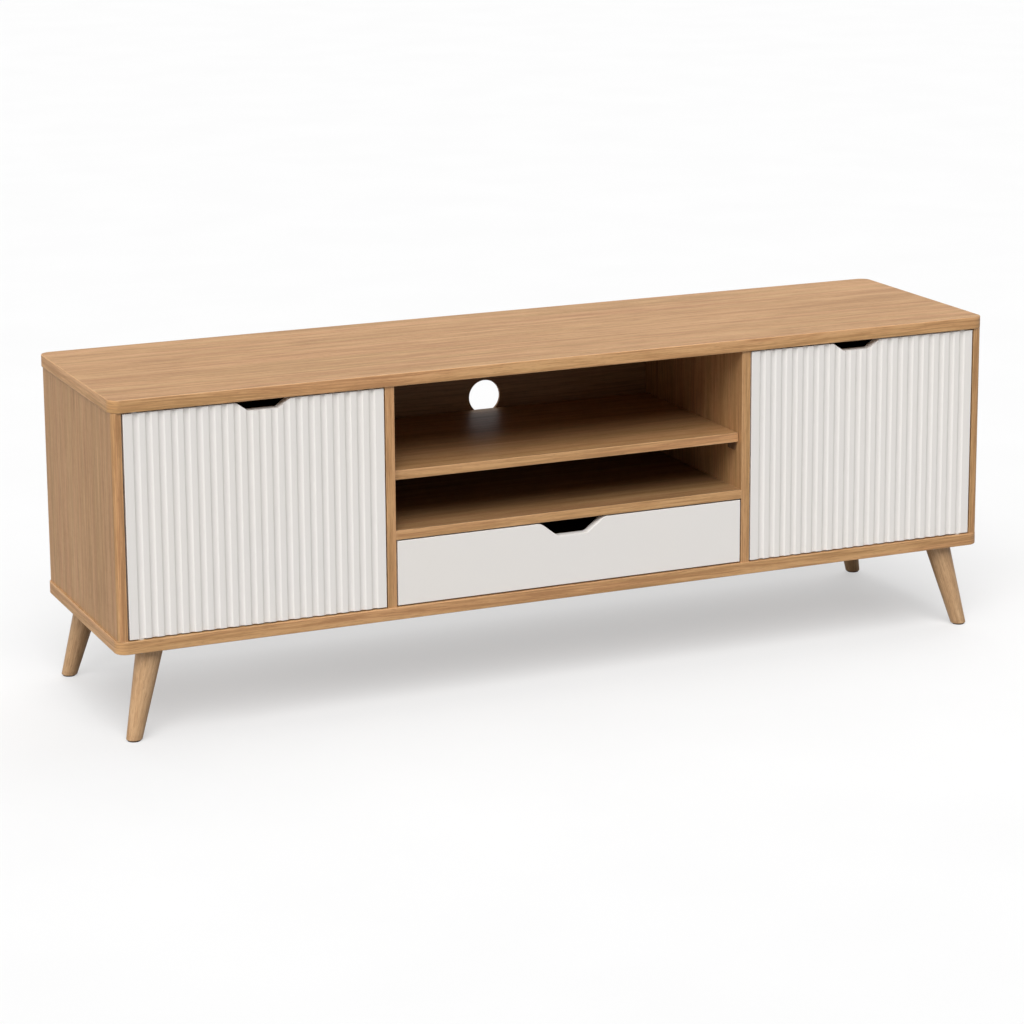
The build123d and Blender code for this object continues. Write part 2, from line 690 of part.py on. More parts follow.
def door(side):
    """A fluted door with its notch, its pivot-plate pockets and its screw holes."""
    span = door_span(side)
    notch_middle = sum(span) / 2 - side * DOOR_NOTCH_SHIFT
    outline = notched_outline(span, (DOOR_BOTTOM, DOOR_TOP), DOOR_NOTCH, notch_middle)
    shape = extrude(outline, DOOR_THICKNESS * 2, both=True)
    panel = fluted_blank(*span) & (Pos(0, FACE_Y, 0) * shape)
    cutters = []
    for edge_z, out in pivot_ends().values():
        cutters.append(pivot_plate_block(side, edge_z, out))
        for x in plate_screw_xs(side):
            seat = (x, plate_centre_y(), edge_z - out * PIVOT_PLATE[2])
            cutters.append(rod(seat, (0, 0, -out), SMALL_SCREW_RADIUS, PLATE_SCREW_DEPTH))
    strike = strike_centre(side)
    cutters.append(rod(strike, (0, -1, 0), SMALL_SCREW_RADIUS, STRIKE_SCREW_DEPTH))
    return panel - cutters


def plate_centre_y():
    """The middle of a pivot plate across the door's thickness."""
    return DOOR_BACK_Y - PLATE_FROM_DOOR_BACK - PIVOT_PLATE[1] / 2


def pivot_plate_block(side, edge_z, out):
    """The space that a pivot plate fills in the door's edge."""
    outer = PIVOT_X + PLATE_PAST_PIN
    x = (side * outer, side * (outer - PIVOT_PLATE[0]))
    half = PIVOT_PLATE[1] / 2
    y = (plate_centre_y() - half, plate_centre_y() + half)
    return block(x, y, (edge_z, edge_z - out * PIVOT_PLATE[2]))


def door_pivot(side, edge_z, out):
    """A plate let into the door's edge, with the pin that the door turns on."""
    plate = pivot_plate_block(side, edge_z, out)
    for x in plate_screw_xs(side):
        hole = (x, plate_centre_y(), edge_z)
        plate = plate - rod(hole, (0, 0, -out), SMALL_SCREW_RADIUS, PIVOT_PLATE[2])
        plate = plate - rod(hole, (0, 0, -out), SMALL_HEAD_RADIUS, PIVOT_PLATE[2] / 2)
    root = (side * PIVOT_X, PIVOT_Y, edge_z - out * PIN_ROOT)
    pin = rod(root, (0, 0, out), PIN_RADIUS, PIN_ROOT + PIN_LENGTH)
    tip = pin.edges().filter_by(GeomType.CIRCLE).sort_by(Axis.Z)
    pin = chamfer(tip[-1] if out > 0 else tip[0], PIN_CHAMFER)
    return plate + pin


def pivot_bush(side, face_z, out):
    """A flanged nylon bush in a slab. Its flange stands in the gap above or below the door."""
    base = (side * PIVOT_X, PIVOT_Y, face_z)
    body = rod(base, (0, 0, out), BUSH_RADIUS, BUSH_LENGTH)
    flange = rod(base, (0, 0, -out), BUSH_FLANGE_RADIUS, BUSH_FLANGE)
    mouth = moved(base, (0, 0, -out), BUSH_FLANGE)
    depth = BUSH_FLANGE + BUSH_LENGTH - BUSH_FLOOR
    bore = rod(mouth, (0, 0, out), PIN_RADIUS + PIN_PLAY, depth)
    return body + flange - bore


def pivot_bushes(side):
    return group([pivot_bush(side, BAY_TOP, 1), pivot_bush(side, BAY_BOTTOM, -1)])


def countersunk_screw(seat, direction, length):
    """A small flat-headed screw whose head ends level with seat."""
    shank = rod(seat, direction, SMALL_SCREW_RADIUS, length)
    head = rod(seat, direction, SMALL_HEAD_RADIUS, PIVOT_PLATE[2] / 2)
    return shank + head - cross_recess(seat, direction, SMALL_SCREW_SLOT)


def door_screws(side):
    """The screws of a door's two pivot plates and of its strike plate."""
    screws = []
    for edge_z, out in pivot_ends().values():
        for x in plate_screw_xs(side):
            length = PLATE_SCREW_DEPTH + PIVOT_PLATE[2]
            screws.append(countersunk_screw((x, plate_centre_y(), edge_z), (0, 0, -out), length))
    centre = strike_centre(side)
    seat = (centre[0], centre[1] + STRIKE_SIZE[1], centre[2])
    shank = rod(seat, (0, -1, 0), SMALL_SCREW_RADIUS, STRIKE_SCREW_DEPTH + STRIKE_SIZE[1])
    screws.append(shank - cross_recess(seat, (0, 1, 0), STRIKE_SCREW_SLOT))
    return group(screws)


def strike_plate(side):
    """The steel plate on a door that the magnet holds."""
    width, thickness, height = STRIKE_SIZE
    x, y, z = strike_centre(side)
    plate = block((x - width / 2, x + width / 2), (y, y + thickness), (z - height / 2, z + height / 2))
    plate = fillet(plate.edges().filter_by(Axis.Y), STRIKE_CORNER)
    return plate - rod((x, y, z), (0, 1, 0), SMALL_SCREW_RADIUS, thickness)


def catch_body_y():
    """The front and back of a catch, with an air gap before the strike plate."""
    front = DOOR_BACK_Y + STRIKE_SIZE[1] + CATCH_AIR
    return front, front + CATCH_SIZE[1]


def catch_screw_seats():
    """The two screw seats of each catch, on its lower lugs."""
    middle_y = sum(catch_body_y()) / 2
    reach = (CATCH_SIZE[0] - CATCH_LUG) / 2
    seats = []
    for side in SIDES.values():
        x = side * (DOOR_INNER + CATCH_FROM_EDGE)
        for dx in (-reach, reach):
            seats.append((x + dx, middle_y, BAY_TOP - CATCH_LUG_THICKNESS))
    return seats


def door_catch(side):
    """A magnetic catch under the top panel: a plastic body between two thin lugs."""
    x = side * (DOOR_INNER + CATCH_FROM_EDGE)
    width, _, height = CATCH_SIZE
    body_half = width / 2 - CATCH_LUG
    y = catch_body_y()
    body = block((x - body_half, x + body_half), y, (BAY_TOP - height, BAY_TOP))
    lugs = block((x - width / 2, x + width / 2), y, (BAY_TOP - CATCH_LUG_THICKNESS, BAY_TOP))
    catch = body + lugs - catch_magnet(side)
    for seat in catch_screw_seats():
        catch = catch - rod(seat, (0, 0, 1), SMALL_SCREW_RADIUS, CATCH_LUG_THICKNESS)
    return catch


def catch_magnet(side):
    """The magnet with its pole plates, let into the front of the catch."""
    width, depth, height = MAGNET_SIZE
    x = side * (DOOR_INNER + CATCH_FROM_EDGE)
    front = catch_body_y()[0]
    z = BAY_TOP - CATCH_SIZE[2] / 2
    x_span = (x - width / 2, x + width / 2)
    return block(x_span, (front, front + depth), (z - height / 2, z + height / 2))


def catch_screws():
    return group(
        screw(seat, (0, 0, 1), SMALL_SCREW_RADIUS, CATCH_SCREW_LENGTH, CATCH_SCREW_HEAD)
        for seat in catch_screw_seats()
    )


# Drawer -------------------------------------------------------------------------------------------


def drawer_cam_places():
    """The drawer's cams sit in its sides' inner faces and pull the front on."""
    middle_z = (DRAWER_SIDE_BOTTOM + DRAWER_SIDE_TOP) / 2
    places = []
    for side in SIDES.values():
        for dz in DRAWER_CAM_HEIGHTS:
            y = DRAWER_START_Y + DRAWER_CAM_FROM_FRONT
            face = (side * (DRAWER_HALF - DRAWER_BOARD), y, middle_z + dz)
            places.append((face, side))
    return places


def drawer_cam(face, side):
    """A small cam, sunk into a drawer side, with a bore for its bolt's head."""
    disc = rod(face, (side, 0, 0), DRAWER_CAM_RADIUS, DRAWER_CAM_THICKNESS)
    bore_base = moved(face, (side, 0, 0), DRAWER_BOARD / 2)
    bore = rod(bore_base, (0, -1, 0), DRAWER_CAM_BORE, DRAWER_CAM_RADIUS * 2)
    pocket = rod(bore_base, (0, 1, 0), DRAWER_CAM_BORE, DRAWER_CAM_BORE)
    return disc - bore - pocket - cross_recess(face, (side, 0, 0), DRAWER_CAM_SLOT)


def drawer_cam_bolt(face, side):
    """A bolt from a drawer cam to the end of its thread in the drawer's face."""
    head_radius, head_length = DRAWER_BOLT_HEAD
    start = moved(face, (side, 0, 0), DRAWER_BOARD / 2)
    head = rod(start, (0, -1, 0), head_radius, head_length)
    length = DRAWER_CAM_FROM_FRONT + DRAWER_BOLT_THREAD
    return head + rod(start, (0, -1, 0), DRAWER_BOLT_RADIUS, length)


def drawer_cam_cutters():
    """What the drawer's cams and bolts need removed from its sides and its face."""
    cutters = []
    for face, side in drawer_cam_places():
        start = moved(face, (side, 0, 0), DRAWER_BOARD / 2)
        joint = moved(start, (0, -1, 0), DRAWER_CAM_FROM_FRONT)
        cutters.append(rod(face, (side, 0, 0), DRAWER_CAM_RADIUS, DRAWER_CAM_THICKNESS))
        cutters.append(rod(start, (0, -1, 0), DRAWER_CAM_BORE, DRAWER_CAM_FROM_FRONT))
        cutters.append(rod(joint, (0, -1, 0), DRAWER_BOLT_RADIUS, DRAWER_BOLT_THREAD))
    return cutters


def drawer_cams():
    return group(drawer_cam(face, side) for face, side in drawer_cam_places())


def drawer_cam_bolts():
    return group(drawer_cam_bolt(face, side) for face, side in drawer_cam_places())


def drawer_floor_block(extra):
    """The drawer's floor. With extra, the groove that takes it."""
    half = DRAWER_HALF - DRAWER_BOARD + DRAWER_GROOVE - GROOVE_PLAY + extra
    front = DRAWER_START_Y - DRAWER_GROOVE + GROOVE_PLAY - extra
    z = (DRAWER_FLOOR_BOTTOM, DRAWER_FLOOR_TOP)
    return block((-half, half), (front, DRAWER_END_Y + extra), z)


def drawer_front():
    """The drawer's face, inset between the dividers, with its finger notch."""
    z = (DOOR_BOTTOM, LOW_SHELF_BOTTOM - FRONT_GAP)
    outline = notched_outline((-DRAWER_FACE_HALF, DRAWER_FACE_HALF), z, DRAWER_NOTCH, 0.0)
    face = Pos(0, DRAWER_START_Y, 0) * extrude(outline, DRAWER_FRONT_THICKNESS)
    face = fillet(face.faces().sort_by(Axis.Y)[0].edges(), FRONT_ARRIS)
    return face - drawer_floor_block(GROOVE_PLAY) - drawer_cam_cutters()


def drawer_back_screw_cutters():
    """The holes of the screws that join the drawer's sides and back."""
    cutters = []
    for seat in drawer_back_screw_seats():
        inward = (-math.copysign(1, seat[0]), 0, 0)
        cutters.append(rod(seat, inward, DRAWER_SCREW_RADIUS, DRAWER_SCREW_LENGTH))
    return cutters


def drawer_side(side):
    """A side of the drawer box, with rounded top edges and a groove for the floor."""
    x = (side * DRAWER_HALF, side * (DRAWER_HALF - DRAWER_BOARD))
    z = (DRAWER_SIDE_BOTTOM, DRAWER_SIDE_TOP)
    board = block(x, (DRAWER_START_Y, DRAWER_END_Y), z)
    top_edges = board.edges().filter_by(Axis.Y).group_by(Axis.Z)[-1]
    board = fillet(top_edges, BOARD_ARRIS)
    cutters = drawer_cam_cutters() + drawer_back_screw_cutters() + [drawer_floor_block(GROOVE_PLAY)]
    for y in drawer_runner_screw_ys():
        seat = (side * DRAWER_HALF, y, RUNNER_Z)
        cutters.append(rod(seat, (-side, 0, 0), RUNNER_SCREW_RADIUS, DRAWER_SIDE_SCREW_DEPTH))
    return board - cutters


def drawer_back():
    """The rear board, between the sides, with the floor passing under it."""
    half = DRAWER_HALF - DRAWER_BOARD
    y = (DRAWER_END_Y - DRAWER_BOARD, DRAWER_END_Y)
    board = block((-half, half), y, (DRAWER_FLOOR_TOP, DRAWER_SIDE_TOP))
    board = fillet(board.edges().filter_by(Axis.X).group_by(Axis.Z)[-1], BOARD_ARRIS)
    return board - drawer_back_screw_cutters()


def drawer_bottom():
    return drawer_floor_block(0)


def drawer_back_screw_seats():
    """Seats of the screws that hold the sides to the back, on the sides' outer faces."""
    y = DRAWER_END_Y - DRAWER_BOARD / 2
    heights = (DRAWER_FLOOR_TOP + DRAWER_SCREW_FROM_EDGE, DRAWER_SIDE_TOP - DRAWER_SCREW_FROM_EDGE)
    return [(side * DRAWER_HALF, y, z) for side in SIDES.values() for z in heights]


def drawer_box_screws():
    """Flat-headed screws, seen on the outer faces of the drawer's sides."""
    screws = []
    for seat in drawer_back_screw_seats():
        inward = (-math.copysign(1, seat[0]), 0, 0)
        shank = rod(seat, inward, DRAWER_SCREW_RADIUS, DRAWER_SCREW_LENGTH)
        screws.append(shank - cross_recess(seat, inward, DRAWER_SCREW_SLOT))
    return group(screws)


def drawer_runner_screw_ys():
    return [DRAWER_START_Y + share * DRAWER_LENGTH for share in DRAWER_SIDE_SCREW_SHARES]


# Runners ------------------------------------------------------------------------------------------


def channel(back_x, mouth_x, height):
    """A runner member: a straight channel with its back at back_x and its mouth at mouth_x."""
    half = height / 2
    y = (RUNNER_START_Y, RUNNER_END_Y)
    outer = block((back_x, mouth_x), y, (RUNNER_Z - half, RUNNER_Z + half))
    corners = outer.edges().filter_by(Axis.Y).group_by(Axis.X)
    outer = fillet(corners[-1] if back_x > mouth_x else corners[0], RUNNER_METAL)
    toward_mouth = math.copysign(RUNNER_METAL, mouth_x - back_x)
    reach = half - RUNNER_METAL
    hollow_x = (back_x + toward_mouth, mouth_x + toward_mouth)
    return outer - block(hollow_x, y, (RUNNER_Z - reach, RUNNER_Z + reach))


def cabinet_runner(side):
    """The member that is screwed to a divider."""
    mouth = DRAWER_HALF + CABINET_MEMBER_MOUTH
    member = channel(side * DIVIDER_INNER, side * mouth, RUNNER_HEIGHTS[0])
    for y in runner_screw_ys():
        hole = (side * mouth, y, RUNNER_Z)
        member = member - rod(hole, (side, 0, 0), RUNNER_SCREW_RADIUS, RUNNER_SPACE)
    return member


def middle_runner(side):
    """The member between the other two, which travels half as far as the drawer."""
    back = DIVIDER_INNER - RUNNER_METAL - MIDDLE_MEMBER_GAP
    mouth = DRAWER_HALF + MIDDLE_MEMBER_MOUTH
    return channel(side * back, side * mouth, RUNNER_HEIGHTS[1])


def drawer_runner(side):
    """The member that is screwed to the drawer's side. It opens towards the divider."""
    mouth = DIVIDER_INNER - RUNNER_METAL * 2 - MIDDLE_MEMBER_GAP - DRAWER_MEMBER_GAP
    member = channel(side * DRAWER_HALF, side * mouth, RUNNER_HEIGHTS[2])
    for y in drawer_runner_screw_ys():
        hole = (side * mouth, y, RUNNER_Z)
        member = member - rod(hole, (-side, 0, 0), RUNNER_SCREW_RADIUS, RUNNER_SPACE)
    return member


def cabinet_runner_screws():
    length = RUNNER_METAL + DIVIDER_SCREW_DEPTH
    screws = []
    for side in SIDES.values():
        for y in runner_screw_ys():
            seat = (side * (DIVIDER_INNER - RUNNER_METAL), y, RUNNER_Z)
            screws.append(screw(seat, (side, 0, 0), RUNNER_SCREW_RADIUS, length, RUNNER_SCREW_HEAD))
    return group(screws)


def drawer_runner_screws():
    length = RUNNER_METAL + DRAWER_SIDE_SCREW_DEPTH
    screws = []
    for side in SIDES.values():
        for y in drawer_runner_screw_ys():
            seat = (side * (DRAWER_HALF + RUNNER_METAL), y, RUNNER_Z)
            screws.append(screw(seat, (-side, 0, 0), RUNNER_SCREW_RADIUS, length, RUNNER_SCREW_HEAD))
    return group(screws)


# The whole cabinet --------------------------------------------------------------------------------


def cabinet_parts():
    """Every sub-part by the name of its node."""
    parts = {
        "top_panel": top_panel(),
        "bottom_panel": bottom_panel(),
        "fixed_shelf": fixed_shelf(),
        "adjustable_shelf": adjustable_shelf(),
        "centre_back_board": centre_back_board(),
        "shelf_supports": shelf_supports(),
        "carcass_cams": group(cam(*place) for place in cam_places()),
        "carcass_cam_bolts": group(cam_bolt(*place) for place in cam_places()),
        "carcass_dowels": wooden_dowels(),
        "leg_plates": leg_plates(),
        "leg_plate_screws": leg_plate_screws(),
        "leg_bolts": leg_bolts(),
        "foot_glides": foot_glides(),
        "catch_screws": catch_screws(),
        "cabinet_runner_screws": cabinet_runner_screws(),
        "drawer_front": drawer_front(),
        "drawer_back": drawer_back(),
        "drawer_bottom": drawer_bottom(),
        "drawer_cams": drawer_cams(),
        "drawer_cam_bolts": drawer_cam_bolts(),
        "drawer_box_screws": drawer_box_screws(),
        "drawer_runner_screws": drawer_runner_screws(),
    }
    for name, place in leg_places().items():
        parts[f"{name}_leg"] = leg(*place)
    for name, side in SIDES.items():
        parts[f"{name}_side_panel"] = side_panel(side)
        parts[f"{name}_divider"] = divider(side)
        parts[f"{name}_back_board"] = back_board(*sorted((side * DIVIDER_OUTER, side * SIDE_INNER)))
        parts[f"{name}_door"] = door(side)
        for end, (edge_z, out) in pivot_ends().items():
            parts[f"{name}_door_{end}_pivot"] = door_pivot(side, edge_z, out)
        parts[f"{name}_door_screws"] = door_screws(side)
        parts[f"{name}_strike_plate"] = strike_plate(side)
        parts[f"{name}_pivot_bushes"] = pivot_bushes(side)
        parts[f"{name}_catch_body"] = door_catch(side)
        parts[f"{name}_catch_magnet"] = catch_magnet(side)
        parts[f"{name}_cabinet_runner"] = cabinet_runner(side)
        parts[f"{name}_middle_runner"] = middle_runner(side)
        parts[f"{name}_drawer_runner"] = drawer_runner(side)
        parts[f"drawer_{name}_side"] = drawer_side(side)
    return parts


os.makedirs("parts", exist_ok=True)
for node, shape in cabinet_parts().items():
    export_step(shape, f"parts/{node}.step")
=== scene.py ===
"""The looks of a long, low media cabinet: oak boards, fluted white doors, a drawer and splayed legs.

Metres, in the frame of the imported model: +X along the cabinet, +Y to its back, +Z up, with the origin on
the floor under its middle. Every CAD node keeps its own mesh and gets a material made of nodes here.
"""

import json
import math

import bpy
from mathutils import Matrix, Vector


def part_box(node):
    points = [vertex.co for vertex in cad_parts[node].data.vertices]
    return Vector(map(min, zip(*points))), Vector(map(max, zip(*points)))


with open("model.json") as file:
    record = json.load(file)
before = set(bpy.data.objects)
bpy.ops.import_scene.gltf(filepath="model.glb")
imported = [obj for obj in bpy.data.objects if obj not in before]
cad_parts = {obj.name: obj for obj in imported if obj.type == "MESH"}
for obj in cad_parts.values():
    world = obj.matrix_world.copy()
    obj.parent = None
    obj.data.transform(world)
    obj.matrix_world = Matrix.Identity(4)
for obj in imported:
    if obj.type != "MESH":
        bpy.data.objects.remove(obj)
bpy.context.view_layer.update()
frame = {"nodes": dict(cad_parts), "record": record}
NODES = frame["nodes"]
SIDES = ("left", "right")
MM = 0.001

# Colours, linear
OAK_DARK = (0.320, 0.162, 0.067)
OAK_MID = (0.470, 0.256, 0.112)
OAK_LIGHT = (0.590, 0.348, 0.166)
OAK_PORE = (0.200, 0.095, 0.036)
OAK_ROSY = (0.520, 0.252, 0.118)
OAK_OLIVE = (0.440, 0.268, 0.104)
# Oak on rounded edges, lighter from wear and as a painted highlight
OAK_ARRIS = (0.640, 0.400, 0.210)
LEG_DARK = (0.350, 0.188, 0.086)
LEG_MID = (0.550, 0.334, 0.172)
LEG_LIGHT = (0.680, 0.448, 0.250)
LACQUER = (0.880, 0.848, 0.818)
LACQUER_WARM = (0.890, 0.852, 0.808)
# White on the lacquer's rounded edges, lighter from rubbing and as a painted highlight
LACQUER_RUBBED_AND_LIT = (0.930, 0.910, 0.880)
FIBREBOARD = (0.330, 0.205, 0.115)
FIBREBOARD_DARK = (0.240, 0.140, 0.075)
PLATED_STEEL = (0.66, 0.67, 0.69)
PLATED_STEEL_DULL = (0.50, 0.50, 0.50)
DRAWN_STEEL = (0.62, 0.63, 0.65)
DRAWN_STEEL_DULL = (0.48, 0.48, 0.49)
CAST_ZINC = (0.52, 0.52, 0.53)
CAST_ZINC_DULL = (0.38, 0.38, 0.39)
FERRITE = (0.045, 0.045, 0.048)
FERRITE_PALE = (0.075, 0.075, 0.078)
NYLON = (0.70, 0.69, 0.65)
NYLON_PALE = (0.76, 0.75, 0.71)
BROWN_PLASTIC = (0.150, 0.080, 0.038)
BROWN_PLASTIC_PALE = (0.200, 0.112, 0.056)
DARK_PLASTIC = (0.020, 0.017, 0.015)
DARK_PLASTIC_PALE = (0.035, 0.030, 0.026)

FLOOR_GREY = (0.380, 0.380, 0.380)
FLOOR_PALE = (0.392, 0.392, 0.392)

# Ramps: where each colour comes as the noise rises
OAK_RAMP = [(0.15, OAK_DARK), (0.50, OAK_MID), (0.85, OAK_LIGHT)]
OAK_TINTS = [(0.35, OAK_OLIVE), (0.65, OAK_ROSY)]
LEG_RAMP = [(0.15, LEG_DARK), (0.50, LEG_MID), (0.85, LEG_LIGHT)]
FIBRE_RAMP = [(0.30, FIBREBOARD_DARK), (0.70, FIBREBOARD)]
LACQUER_RAMP = [(0.30, LACQUER), (0.70, LACQUER_WARM)]
FLOOR_RAMP = [(0.3, FLOOR_GREY), (0.7, FLOOR_PALE)]

# Boards: brightness of the faces and edge bands, and strength of the figure and of its threads.
# The shelves and back boards are darker than the oak they stand for: this is painted shade, so that the
# open bay stays dark.
EDGE_BAND_TONE = 1.19
FLAT_BOARDS = {
    "top_panel": {"edge_tone": 1.25, "contrast": 1.4},
    "bottom_panel": {"contrast": 1.2},
    # The shelves' low tones are painted shade of the open bay
    "fixed_shelf": {"tone": 0.60},
    "adjustable_shelf": {"tone": 0.82},
}
UPRIGHT_LOOK = {"tone": 1.02, "edge_tone": 1.14, "contrast": 0.78, "fineness": 1.45}
DRAWER_LOOK = {"tone": 0.9, "edge_tone": 0.9}
# Tone of the back boards' printed oak, lowered as painted shade of the bay
BACK_PAINTED_SHADE = 0.66
DOWEL_TONE = 1.2

# Oak figure on boards: noise scales along the grain, across it and through it, per metre
BANDS = (0.8, 10.0, 1.0)
STREAKS = (2.2, 75.0, 1.0)
THREADS = (11.0, 380.0, 1.0)
PORES = (75.0, 1900.0, 1.0)
ARCHES = (0.9, 4.5, 1.0)
HUES = (1.6, 48.0, 2.0)

# How much of each goes into the colour of a board
BAND_WEIGHT = 0.60
STREAK_WEIGHT = 2.20
THREAD_WEIGHT = 2.40
GROWTH_WEIGHT = -0.12
TINT_SHARE = 0.34
PORE_SHARE = 0.42
# The share of lighter edge colour is partly wear and partly a painted highlight
WEAR_AND_HIGHLIGHT_SHARE = 0.40

# The course of a board's grain and growth lines, and the noise at which bands and pores show
GRAIN_WANDER = 0.030
WANDER_SCALE = 1.1
WANDER_STEP = 5.0
RINGS_PER_METRE = 34.0
ARCH_SWING = 9.0
GROWTH_PEAK = 0.82
GROWTH_REST = 0.02
FIGURED_BANDS = (0.42, 0.60)
OPEN_PORES = (0.60, 0.70)

# Least part of the normal on a board's face and on the back of a back board, and how far from the face's
# figure an edge band's figure starts
FACE_NORMAL = 0.7
BACK_NORMAL = 0.3
EDGE_OFFSET = 3.0

# Sheen and relief of the boards
BOARD_ROUGHNESS = 0.43
STREAK_ROUGHNESS = -0.25
PORE_ROUGHNESS = 0.16
WEAR_ROUGHNESS = -0.06
THREAD_HEIGHT = 0.5
PORE_DEPTH = 0.06 * MM
BOARD_RELIEF = 0.55

# Printed back boards: the bare fibreboard behind them
FIBRE_CLUMPS = 45.0
FIBRES = 900.0
FIBRE_WEIGHT = 0.9

# Rubbed edges, lightened both by wear and as a painted highlight: widths, the share of the width that is
# fully rubbed, and the noise that breaks them up
ARRIS_WIDTH = 1.8 * MM
LACQUER_ARRIS_WIDTH = 1.4 * MM
ARRIS_CORE = 0.35
EDGE_PATCHES = 60.0
PATCH_NOISE = (0.30, 0.62)
LEAST_EDGE_MARK = 0.35

# Oak figure on the turned legs: noise scales per metre, and how much shorter the leg counts along its axis
LEG_STREAKS = 170.0
LEG_THREADS = 620.0
LEG_PORES = 1700.0
LEG_STRETCH = 0.028
LEG_STREAK_WEIGHT = 0.66
LEG_THREAD_WEIGHT = 0.80
LEG_LEVEL = 0.58

# Growth rings of the legs, round a pith that lies beside each leg and is a step further over in the next
LEG_BEND = 0.003
LEG_BEND_SCALE = 5.0
LEG_RINGS_PER_METRE = 240.0
LEG_RING_WANDER = 1.6
LEG_GROWTH_PEAK = 0.80
PITH_X = 0.090
PITH_Y = 0.060
PITH_STEP = 0.02

# Pores, sheen and relief of the legs
LEG_OPEN_PORES = (0.58, 0.68)
LEG_PORE_SHARE = 0.40
LEG_ROUGHNESS = 0.40
LEG_PORE_ROUGHNESS = 0.15
LEG_RELIEF = 0.5

# Scuffed foot: where scuffs start and are full, measured down the leg from its top, and their noise
SCUFFED_FOOT = (0.128, 0.137)
SCUFF_SCALE = 130.0
SCUFF_NOISE = (0.42, 0.60)
SCUFF_SHARE = 0.35
SCUFF_ROUGHNESS = 0.20

# How near a point of a leg must be to its highest or lowest level to belong to that end
LEVEL_TOLERANCE = 0.1 * MM

# Lacquer: noise scales per metre, sheen and relief
LACQUER_CLOUDS = (4.0, 4.0, 2.5)
ORANGE_PEEL = (330.0, 330.0, 260.0)
DUST = 1500.0
# Share of the lighter edge colour on the lacquer: rubbing and a painted highlight
LACQUER_WEAR_AND_HIGHLIGHT_SHARE = 0.30
LACQUER_ROUGHNESS = 0.46
LACQUER_CLOUD_ROUGHNESS = 0.22
LACQUER_DUST_ROUGHNESS = 0.12
LACQUER_WEAR_ROUGHNESS = -0.08
DUST_HEIGHT = 0.004 * MM
PEEL_HEIGHT = 0.020 * MM

# Metal and plastic: noise scales per metre, sheen and relief
METAL_CLOUDS = 70.0
METAL_GRIT = 2400.0
METAL_STROKE = 60.0
METAL_STOPS = (0.32, 0.62)
METAL_CLOUD_ROUGHNESS = -0.35
METAL_GRIT_ROUGHNESS = 0.25
METAL_HEIGHT = 0.02 * MM
PLASTIC_CLOUDS = 60.0
PLASTIC_STOPS = (0.30, 0.70)
PLASTIC_GRIT_ROUGHNESS = 0.25
PLASTIC_HEIGHT = 0.03 * MM
FINE_RELIEF = 0.5

# Where each family of pieces starts in the noise, and the step from one piece to the next
SEEDS = {
    "flat": (1.0, 1.7),
    "upright": (9.0, 1.3),
    "back": (16.0, 1.0),
    "drawer": (20.0, 1.0),
    "dowel": (30.0, 1.0),
    "leg": (0.4, 0.9),
    "lacquer": (2.0, 3.0),
}

# Light: the floor's own glow, the dim room, and the soft boxes, in degrees
FLOOR_GLOW = 0.50
ROOM_LIGHT = 0.10
ROOM_SHEEN = 0.45
FLOOR_HALF = 30.0
FLOOR_MOTTLE = 3.0
SOFT_BOXES = {
    "front_box": {"azimuth": -22.0, "elevation": 54.0, "spread": 46.0, "strength": 2.95},
    "left_box": {"azimuth": -85.0, "elevation": 14.0, "spread": 30.0, "strength": 1.05, "mirrored": False},
    "top_box": {"azimuth": 150.0, "elevation": 64.0, "spread": 50.0, "strength": 1.12},
}

# Camera: a long lens in millimetres, to the left of the cabinet and above it, turned in degrees
CAMERA_PLACE = (-1.9916, -4.4952, 1.5248)
CAMERA_YAW = 23.691
CAMERA_PITCH = 11.926
CAMERA_ROLL = -0.380
CAMERA_LENS = 109.05
CAMERA_SHIFT = -0.148
CAMERA_REACH = 100.0


# Shader trees -------------------------------------------------------------------------------------


